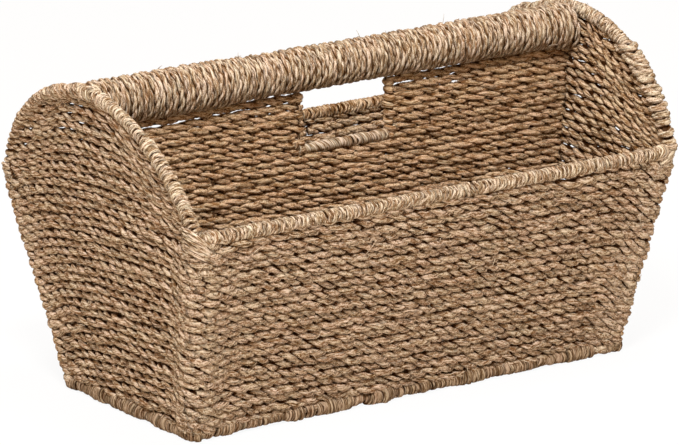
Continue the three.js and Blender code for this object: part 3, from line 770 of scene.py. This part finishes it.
for name, sign, first_bay in (("left", -1, corner_bays[3]), ("right", 1, corner_bays[1])):
    for course in range(-courses_below, int((apex_z - base_z) / wall_course) + courses_above):
        level = base_z + course_foot + (course + 0.5) * wall_course
        y = np.arange(-rim_half_depth, rim_half_depth, step)
        lean = y / half_depth(min(level, rim_z))
        z = level + course_shift(name, np.clip(lean, -1, 1), np.full(len(y), level))
        z = z + vary(y, *panel_play)
        span = np.maximum(panel_half(min(level, apex_z - span_below_apex)), least_span)
        bend = arch_bend * ease((level - rim_z + bend_from) / bend_length)
        z = z - bend * ease((np.abs(y) / span - bend_share) / (1 - bend_share))
        inside = (z >= wall_limit - panel_overlap) & (np.abs(y) < panel_half(z) - arch_gap)
        if inside.sum() < least_samples:
            continue
        bays = first_bay + end_bays * (y / half_depth(np.minimum(z, rim_z + bays_up_to)) + 1) / 2
        push = weave_swing * (-1) ** course * np.cos(math.pi * bays)
        normal = facing((sign * math.cos(end_tilt), 0, -math.sin(end_tilt)), y)
        points = np.stack([sign * half_length(z), y, z], axis=1) + push[:, None] * normal
        if sign < 0:
            points, inside = points[::-1], inside[::-1]
        stretches = [(wall_pieces[name], first, last) for first, last in runs_of(inside)]
        lay_rope(stretches, points, normal, side_rope[name], end_lay, core=side_core[name] * wall_course,
                 core_play=side_core_play[name])

for name in wall_names:
    node = f"{name}_wall" if name in ("front", "rear") else f"{name}_end_wall"
    look = right_look if name in ("right", "rear") else rope_look
    wall_pieces[name].build(f"{name}_weave", look, "wall_rope", node)

# The divider, with turns back at the hand window
post_gap = 4 * MM
stakes_to_wall = 4
spare_stakes = 1
divider_step = 1.22 * step
divider_swing = 0.8 * MM
divider_row_play = (0.3 * MM, 22 * MM)
divider_push_play = (0.2 * MM, 20 * MM)
top_row_lift = 0.8
top_row_play = (0.6, 8 * MM)
divider_core = 0.55
divider_tone = 0.6
divider_sink = 3.6 * MM
curl_radius = 2.3 * MM
curl_steps = 9
curl_gap = 1.0 * MM
sill_gap = 6 * MM
divider = Strands()
left_post = window_left - post_gap
right_post = window_right + post_gap
stake_counts = range(1, stakes_to_wall + spare_stakes + 1)
stake_xs = sorted(
    [left_post, right_post, (window_left + window_right) / 2]
    + [left_post - i / stakes_to_wall * (base_half_length + left_post) for i in stake_counts]
    + [right_post + i / stakes_to_wall * (base_half_length - right_post) for i in stake_counts]
)
rows = int(round((divider_top - divider_bottom) / divider_course))
row_pitch = (divider_top - divider_bottom) / rows


def divider_run(row, x_from, x_to):
    x = np.arange(x_from, x_to, divider_step)
    bays = np.interp(x, stake_xs, np.arange(len(stake_xs)))
    z = divider_bottom + (row + 0.5) * row_pitch + vary(x, *divider_row_play)
    if row == rows - 1:
        # the top row touches the handle here and there
        z = z + (top_row_lift + vary(x, *top_row_play)) * MM
    push = divider_swing * (-1) ** row * np.cos(math.pi * bays) + vary(x, *divider_push_play)
    return np.stack([x, -push, z], axis=1)


def add_divider_rope(points):
    way = unit(np.gradient(points, axis=0))
    out = np.cross(way, facing(upward, points)) * np.sign(way[0, 0])
    lay_rope([(divider, 0, len(points))], points, out, divider_rope, divider_lay, sides=6,
             core=divider_core * row_pitch, tone=divider_tone, shape=divider_ply)


# A row that ends at the window curls round its post, from the face it runs on to the other
def curl_round(points, post_x, way):
    start = points[-1]
    face = 1 if start[1] > 0 else -1
    angle = np.linspace(quarter_turn, -quarter_turn, curl_steps)
    curl = np.stack([
        post_x + way * curl_radius * np.cos(angle),
        face * curl_radius * np.sin(angle),
        np.full(curl_steps, start[2]),
    ], axis=1)
    return np.concatenate([points, curl])


for row in range(rows):
    z = divider_bottom + (row + 0.5) * row_pitch
    reach = half_length(z) - wall_half + divider_sink
    if z < sill_z - sill_gap:
        add_divider_rope(divider_run(row, -reach, reach))
        continue
    left = divider_run(row, -reach, left_post - curl_gap)
    right = divider_run(row, right_post + curl_gap, reach)[::-1]
    add_divider_rope(curl_round(left, left_post, 1))
    add_divider_rope(curl_round(right, right_post, -1))
divider.build("divider_weave", divider_look, "wall_rope", "divider_wall")

# The floor
floor_side_gap = 4.0 * MM
floor_end_gap = 2 * MM
floor_course = 6.4 * MM
floor_step = 2.4 * MM
floor_play = (0.25 * MM, 25 * MM)
floor_core = 4.7 * MM
floor = Strands()
floor_half = base_half_depth - floor_side_gap
floor_rows = int(round(2 * floor_half / floor_course))
for row in range(floor_rows):
    y = -floor_half + (row + 0.5) * 2 * floor_half / floor_rows
    x = np.arange(-base_half_length + floor_end_gap, base_half_length - floor_end_gap, floor_step)
    bays = front_bays * (x / base_half_length + 1) / 2
    lift = weave_swing * (-1) ** row * np.cos(math.pi * bays)
    points = np.stack([x, y + vary(x, *floor_play), base_z + lift], axis=1)
    lay_rope([(floor, 0, len(x))], points, facing(upward, points), floor_rope, wall_lay, sides=6,
             core=floor_core)
floor.build("floor_ropes", rope_look, "wall_rope", "floor_weave")


# Cords wound on the rims, the arches, the base ring and the sill
def straight(start, end, spacing=2 * MM):
    count = max(4, int(np.linalg.norm(np.subtract(end, start)) / spacing))
    return np.linspace(start, end, count)


cord_bore = frame_radius + 0.3 * MM
rim_end_gap = 0.6 * MM
rim_cord = 2.05 * MM
rim_cord_lay = 13 * MM
rim_cord_pitch = 3.35 * MM
rim_cord_flat = 0.55
for name, sign, look, tone in (("front", -1, cord_look, -1.2), ("rear", 1, right_look, -1.5)):
    end = rim_half_length - rim_end_gap
    points = straight((-end, sign * rim_half_depth, rim_z), (end, sign * rim_half_depth, rim_z))
    rim = Strands()
    wind_rope(rim, points, facing(upward, points), cord_bore, rim_cord, rim_cord_lay, rim_cord_pitch,
              rim_cord_flat, tone=tone)
    rim.build(f"{name}_rim_cord", look, "binding_cord", f"{name}_rim_wrap")

# Parts of the arches from front to rear, in mm from the apex: thin cord, a rope, or loops of the rows' rope
arch_parts = {
    "left": [("rope", -200, -92), ("cord", -98, -33), ("rope", -40, -1), ("loops", -9, 200)],
    "right": [("loops", -200, -71), ("rope", -79, 24), ("cord", 16, 64), ("loops", 56, 200)],
}
# bore, radius, lay, pitch and flatness
arch_cord = (cord_bore, 1.75 * MM, 12 * MM, 2.9 * MM, 0.4)
arch_rope = (frame_radius, 2.7 * MM, 15 * MM, 4.3 * MM, 0.45)
loop_rope = {"left": 3.2 * MM, "right": 3.8 * MM}
loop_flat = {"left": 0.3, "right": 0.62}
loop_lay = 22 * MM
loop_pitch = 6.9 * MM
loop_taper = 0.2
taper_from = 110 * MM
taper_length = 60 * MM
rear_shoulder_drop = 2.5 * MM
shoulder_from = -10 * MM
shoulder_length = 40 * MM
hoop_foot = 2 * MM
hoop_steps = 181
leg_steps = 12
hoop_smoothing = 5


def hoop_points(sign):
    half = math.asin(rim_half_depth / arch_radius)
    angle = np.linspace(-half, half, hoop_steps)
    y = arch_radius * np.sin(angle)
    along = arch_centre + arch_radius * np.cos(angle)
    z = base_z + along * math.cos(end_tilt)
    leg_z = np.linspace(rim_z - hoop_foot, rim_z, leg_steps)[:-1]
    y = np.concatenate([-half_depth(leg_z), y, half_depth(leg_z)[::-1]])
    z = np.concatenate([leg_z, z, leg_z[::-1]])
    y, z = (smooth(np.pad(v, hoop_smoothing, mode="edge"), hoop_smoothing) for v in (y, z))
    return np.stack([sign * half_length(z), y, z], axis=1)


for name, sign, outward in (("left", -1, to_left), ("right", 1, to_right)):
    points = hoop_points(sign)
    arch, loops = Strands(), Strands()
    out = facing(outward, points)
    reach = run_length(points) - run_length(points)[-1] / 2
    if sign < 0:
        # the rear shoulder of this arch sits lower
        hub = [points[0][0], 0.0, base_z + arch_centre * math.cos(end_tilt)]
        radial = unit(points - hub) * [0.0, 1.0, 1.0]
        lower = ease((reach - shoulder_from) / shoulder_length)
        points = points - rear_shoulder_drop * radial * lower[:, None]
    for kind, first, last in arch_parts[name]:
        near = (reach >= first * MM) & (reach <= last * MM)
        if kind == "loops":
            taper = 1 - loop_taper * ease((np.abs(reach[near]) - taper_from) / taper_length)
            wind_rope(loops, points[near], out[near], frame_radius, loop_rope[name] * taper, loop_lay,
                      loop_pitch, loop_flat[name], row=np.array([0.0, 1.0, 0.0]))
        else:
            wind_rope(arch, points[near], out[near], *(arch_cord if kind == "cord" else arch_rope))
    arch.build(f"{name}_arch_cord", cord_look, "binding_cord", f"{name}_arch_wrap")
    loop_look, loop_slot = (rope_look, "wall_rope") if sign < 0 else (cord_look, "binding_cord")
    loops.build(f"{name}_arch_loops", loop_look, loop_slot)

# The base ring: each side's cord runs from bend to bend, a little outside and over the wire
base_corner = 6 * MM
base_bend_steps = 6
base_bend_over = 0.3
base_out_x = 1.0 * MM
base_out_y = 2.6 * MM
base_lift = 1.1 * MM
base_fuller = {"front": 0.3 * MM, "right": 0.3 * MM, "rear": 0.3 * MM, "left": 1.0 * MM}
base_half_wide = 2.6 * MM
base_half_high = 1.4 * MM
base_pitch = 3.7 * MM
for name, start, end, out in (
    ("front", (-1, -1), (1, -1), (0, -1)), ("right", (1, -1), (1, 1), (1, 0)),
    ("rear", (1, 1), (-1, 1), (0, 1)), ("left", (-1, 1), (-1, -1), (-1, 0)),
):
    begin = np.array([start[0] * base_half_length, start[1] * base_half_depth, base_z])
    finish = np.array([end[0] * base_half_length, end[1] * base_half_depth, base_z])
    way = unit(finish - begin)
    inward = -np.array([out[0], out[1], 0.0])
    body = straight(begin + way * base_corner, finish - way * base_corner)
    bend = np.linspace(quarter_turn / 2 + base_bend_over, 0, base_bend_steps)[:-1, None]
    hub = begin + way * base_corner + inward * base_corner
    first = hub - base_corner * (way * np.sin(bend) + inward * np.cos(bend))
    hub = finish - way * base_corner + inward * base_corner
    last = hub + base_corner * (way * np.sin(bend[::-1]) - inward * np.cos(bend[::-1]))
    points = np.concatenate([first, body, last])
    points = points * [1 + base_out_x / base_half_length, 1 + base_out_y / base_half_depth, 1]
    points = points + [0, 0, base_lift]
    ring = Strands()
    wind_cord(ring, points, facing(upward, points), cord_bore + base_fuller[name], base_half_wide,
              base_half_high, base_pitch, clump=0.35, tilt=0.4, bumps=0.4)
    ring.build(f"{name}_base_cord", base_look, "base_cord", f"{name}_base_wrap")

# The sill, whose cord runs up a little at both posts
sill_rise = ((7 * MM, 5 * MM), (1 * MM, 0.4 * MM))
sill_bore = 1.8 * MM
sill_half_wide = 2.1 * MM
sill_half_high = 1.2 * MM
sill_pitch = 3.6 * MM
sill = Strands()
sill_points = np.concatenate([
    straight(*((window_left - out, 0, sill_z + up) for out, up in sill_rise)),
    straight((window_left, 0, sill_z), (window_right, 0, sill_z)),
    straight(*((window_right + out, 0, sill_z + up) for out, up in reversed(sill_rise))),
])
wind_cord(sill, sill_points, facing(to_front, sill_points), sill_bore, sill_half_wide, sill_half_high,
          sill_pitch, clump=0.12, tilt=0.35)
sill.build("sill_cord", cord_look, "binding_cord", "sill_wrap")

# Lashings, the fullest at the front left: a cord and a rope on the rim's end, and strands round the corner
lash_half_wide = 2.1 * MM
lash_half_high = 1.5 * MM
lash_pitch = 3.0 * MM
lash_rope = 3.1 * MM
lash_lay = 16 * MM
full_lash = 1.0
slim_lash = 0.45
strand_count = 5
strand_steps = 16
strand_rope = 2.0 * MM
strand_lay = 34 * MM
strand_tone = 0.8
low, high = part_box("front_left_lashing")
lash_from, lash_to = low.x, high.x


# The three points that steer strand k, for the corner where x and y are above zero; fat is the fullness
def strand_ends(k, fat):
    top = rim_z + (5.5 - 3.2 * k) * MM
    foot = rim_z - (9 + 2.8 * k) * MM
    loose = fat * (0.76 + 0.06 * k)
    return np.array([
        [half_length(top) + (3.0 + 2.4 * fat) * MM, half_depth(top) - (13 - 0.5 * k) * MM, top],
        [half_length(top) + (4 + 9 * loose) * MM, half_depth(top) + (4 + 10.5 * loose) * MM, top + 1 * MM],
        [half_length(foot) - (10 + 0.8 * k) * MM, half_depth(foot) + 5.2 * MM, foot],
    ])


for front, y_sign in (("front", -1), ("rear", 1)):
    for side, x_sign in (("left", -1), ("right", 1)):
        ends = sorted((x_sign * -lash_from, x_sign * -lash_to))
        points = straight(*((x, y_sign * rim_half_depth, rim_z) for x in ends), 1 * MM)
        lash = Strands()
        over = facing(upward, points)
        wind_cord(lash, points, over, cord_bore, lash_half_wide, lash_half_high, lash_pitch, tilt=0.9)
        lay_rope([(lash, 0, len(points))], points, over, lash_rope, lash_lay, sides=6, both=False,
                 shape=cord_ply)
        fullest = (front, side) == ("front", "left")
        fat = full_lash if fullest else slim_lash
        for k in range(-1 if fullest else 0, strand_count):
            ends = strand_ends(k, fat) * [x_sign, y_sign, 1]
            t = np.linspace(0, 1, strand_steps)[:, None]
            line = (1 - t) ** 2 * ends[0] + 2 * t * (1 - t) * ends[1] + t ** 2 * ends[2]
            # the strand's outer face turns from the end wall's side to the front's
            out = np.array([x_sign, y_sign, 0.2]) * np.hstack([1 - 0.6 * t, 0.4 + 0.6 * t, 1 + 0 * t])
            lay_rope([(lash, 0, strand_steps)], line, out, strand_rope, strand_lay, sides=6, both=False,
                     tone=strand_tone, shape=cord_ply)
        lash.build(f"{front}_{side}_binding", cord_look, "binding_cord", f"{front}_{side}_lashing")

# The handle's rope, wound in one run from end to end, fuller at both ends and lower at the right one
handle_end_gap = 1.0 * MM
handle_pitch = 5.2 * MM
handle_steps = 64
handle_slow_play = (0.45 * MM, 9.0)
handle_quick_play = (0.2 * MM, 2.0)
handle_height_play = (0.2 * MM, 3.0)
handle_bore = core_radius + 0.35 * MM
handle_seat = 2.35 * MM
right_swell = 1.8 * MM
right_swell_reach = 34 * MM
right_swell_length = 24 * MM
slimmer = 1.4 * MM
slim_from = -125 * MM
slim_length = 50 * MM
right_drop = 2.0 * MM
right_drop_length = 26 * MM
handle = Strands()
low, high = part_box("handle_wrap")
handle_end = high.x - handle_end_gap
handle_turns = int(round(2 * handle_end / handle_pitch))
count = handle_turns * handle_steps
turn = np.linspace(0, full_turn * handle_turns, count)
x = np.linspace(-handle_end, handle_end, count)
x = x + vary(turn, *handle_slow_play) + vary(turn, *handle_quick_play)
swell = right_swell * ease((x - (handle_end - right_swell_reach)) / right_swell_length)
swell = swell - slimmer * ease((x - slim_from) / slim_length)
drop = right_drop * ease((x - (handle_end - right_drop_length)) / right_drop_length)
spoke = np.stack([np.zeros(count), np.cos(turn), np.sin(turn)], axis=1)
wound = handle_bore + handle_seat + swell + vary(turn, *handle_height_play)
points = np.stack([x, np.zeros(count), handle_z - drop], axis=1) + wound[:, None] * spoke
lay_rope([(handle, 0, count)], points, spoke, handle_rope, handle_lay, both=False, shape=handle_ply)
handle.build("handle_winding", handle_look, "handle_rope", "handle_wrap")


# The wires and the core keep their solids and get a finish
def plain_material(name, colour, roughness):
    material, tree = new_material(name)
    place = add_node(tree, "ShaderNodeTexCoord", output="Object")
    noise = add_node(tree, "ShaderNodeTexNoise", {"Vector": place, "Scale": 220, "Detail": 4}, "Fac")
    finish = add_ramp(tree, noise, (0, [0.6 * c for c in colour]), (1, colour))
    rough = {"Value": noise, "To Min": roughness - 0.1, "To Max": roughness + 0.1}
    bump = {"Height": noise, "Strength": 0.2, "Distance": 0.1 * MM}
    set_inputs(tree.nodes["Principled BSDF"], {
        "Base Color": finish,
        "Roughness": add_node(tree, "ShaderNodeMapRange", rough, "Result"),
        "Normal": add_node(tree, "ShaderNodeBump", bump),
        "Specular IOR Level": 0.1,
    })
    return material


wire_look = plain_material("painted_wire", (0.09, 0.04, 0.015), 0.8)
core_look = plain_material("cane_core", (0.42, 0.27, 0.14), 0.7)
wires = ("base_frame", "front_frame", "rear_frame", "divider_frame", "handle_rod")
finishes = dict.fromkeys((*wires, "left_end_hoop", "right_end_hoop"), wire_look)
finishes["handle_core"] = core_look
for node, look in finishes.items():
    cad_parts[node].data.materials.clear()
    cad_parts[node].data.materials.append(look)


# 1 for a ray from the camera or a mirror image, 0 for light that reaches the basket
def seen_directly(tree):
    rays = add_node(tree, "ShaderNodeLightPath").node.outputs
    inputs = {0: rays["Is Camera Ray"], 1: rays["Is Glossy Ray"]}
    return add_node(tree, "ShaderNodeMath", inputs, operation="MAXIMUM")


# White paper under the basket, which still takes a faint shadow
ground_size = 30
ground_z = -0.0002
ground_glow_share = 0.93
bpy.ops.mesh.primitive_plane_add(size=ground_size, location=(0, 0, ground_z))
ground = bpy.context.object
ground.name = "ground"
ground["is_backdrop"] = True
paper, tree = new_material("paper")
shader = tree.nodes["Principled BSDF"]
set_inputs(shader, {"Base Color": (0.8, 0.75, 0.68, 1), "Roughness": 0.9})
glow = add_node(tree, "ShaderNodeEmission", {"Strength": 1.0})
part = add_node(tree, "ShaderNodeMath", {0: seen_directly(tree), 1: ground_glow_share}, operation="MULTIPLY")
blend = add_node(tree, "ShaderNodeMixShader", {"Fac": part, 1: shader.outputs["BSDF"], 2: glow})
set_inputs(tree.nodes["Material Output"], {"Surface": blend})
ground.data.materials.append(paper)

# The sky is white to look at and warm in its light
world = bpy.data.worlds.new("studio")
bpy.context.scene.world = world
world.use_nodes = True
tree = world.node_tree
level = {"Factor": seen_directly(tree), "A": (0.59, 0.445, 0.30, 1), "B": (1, 1, 1, 1)}
sky = add_node(tree, "ShaderNodeMix", level, "Result", data_type="RGBA")
set_inputs(tree.nodes["Background"], {"Color": sky, "Strength": 1.0})

# Lamps
lamp_colour = (0.94, 1.0, 1.09)
lamp_target = Vector((0, 0, 0.12))


def lamp(name, place, size, power):
    data = bpy.data.lights.new(name, "AREA")
    data.size = size
    data.energy = power
    data.color = lamp_colour
    light = bpy.data.objects.new(name, data)
    light.location = place
    light.rotation_euler = (lamp_target - Vector(place)).to_track_quat("-Z", "Y").to_euler()
    bpy.context.scene.collection.objects.link(light)


lamp("key", place=(-1.1, -1.55, 2.3), size=0.6, power=101)
lamp("top", place=(0.2, -0.3, 2.7), size=0.9, power=38)

# Camera
view_azimuth = math.radians(-32.48)
view_elevation = math.radians(14.7)
view_roll = math.radians(-1.7)
view_distance = 3.992
view_target = Vector((-0.0062, 0, 0.1187))
back = Vector((
    math.sin(view_azimuth) * math.cos(view_elevation),
    -math.cos(view_azimuth) * math.cos(view_elevation),
    math.sin(view_elevation),
))
right = Vector(upward).cross(back).normalized()
up = back.cross(right)
rolled_right = right * math.cos(view_roll) + up * math.sin(view_roll)
rolled_up = up * math.cos(view_roll) - right * math.sin(view_roll)
camera_data = bpy.data.cameras.new("view")
camera_data.sensor_width = 36
camera_data.lens = 271.9
camera_data.shift_x = 0.0085
camera_data.shift_y = 0.0011
camera = bpy.data.objects.new("view", camera_data)
camera.matrix_world = Matrix.Translation(view_target + back * view_distance) @ Matrix(
    (rolled_right, rolled_up, back)
).transposed().to_4x4()
bpy.context.scene.collection.objects.link(camera)
bpy.context.scene.camera = camera
bpy.context.scene.view_settings.view_transform = "Standard"

low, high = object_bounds()
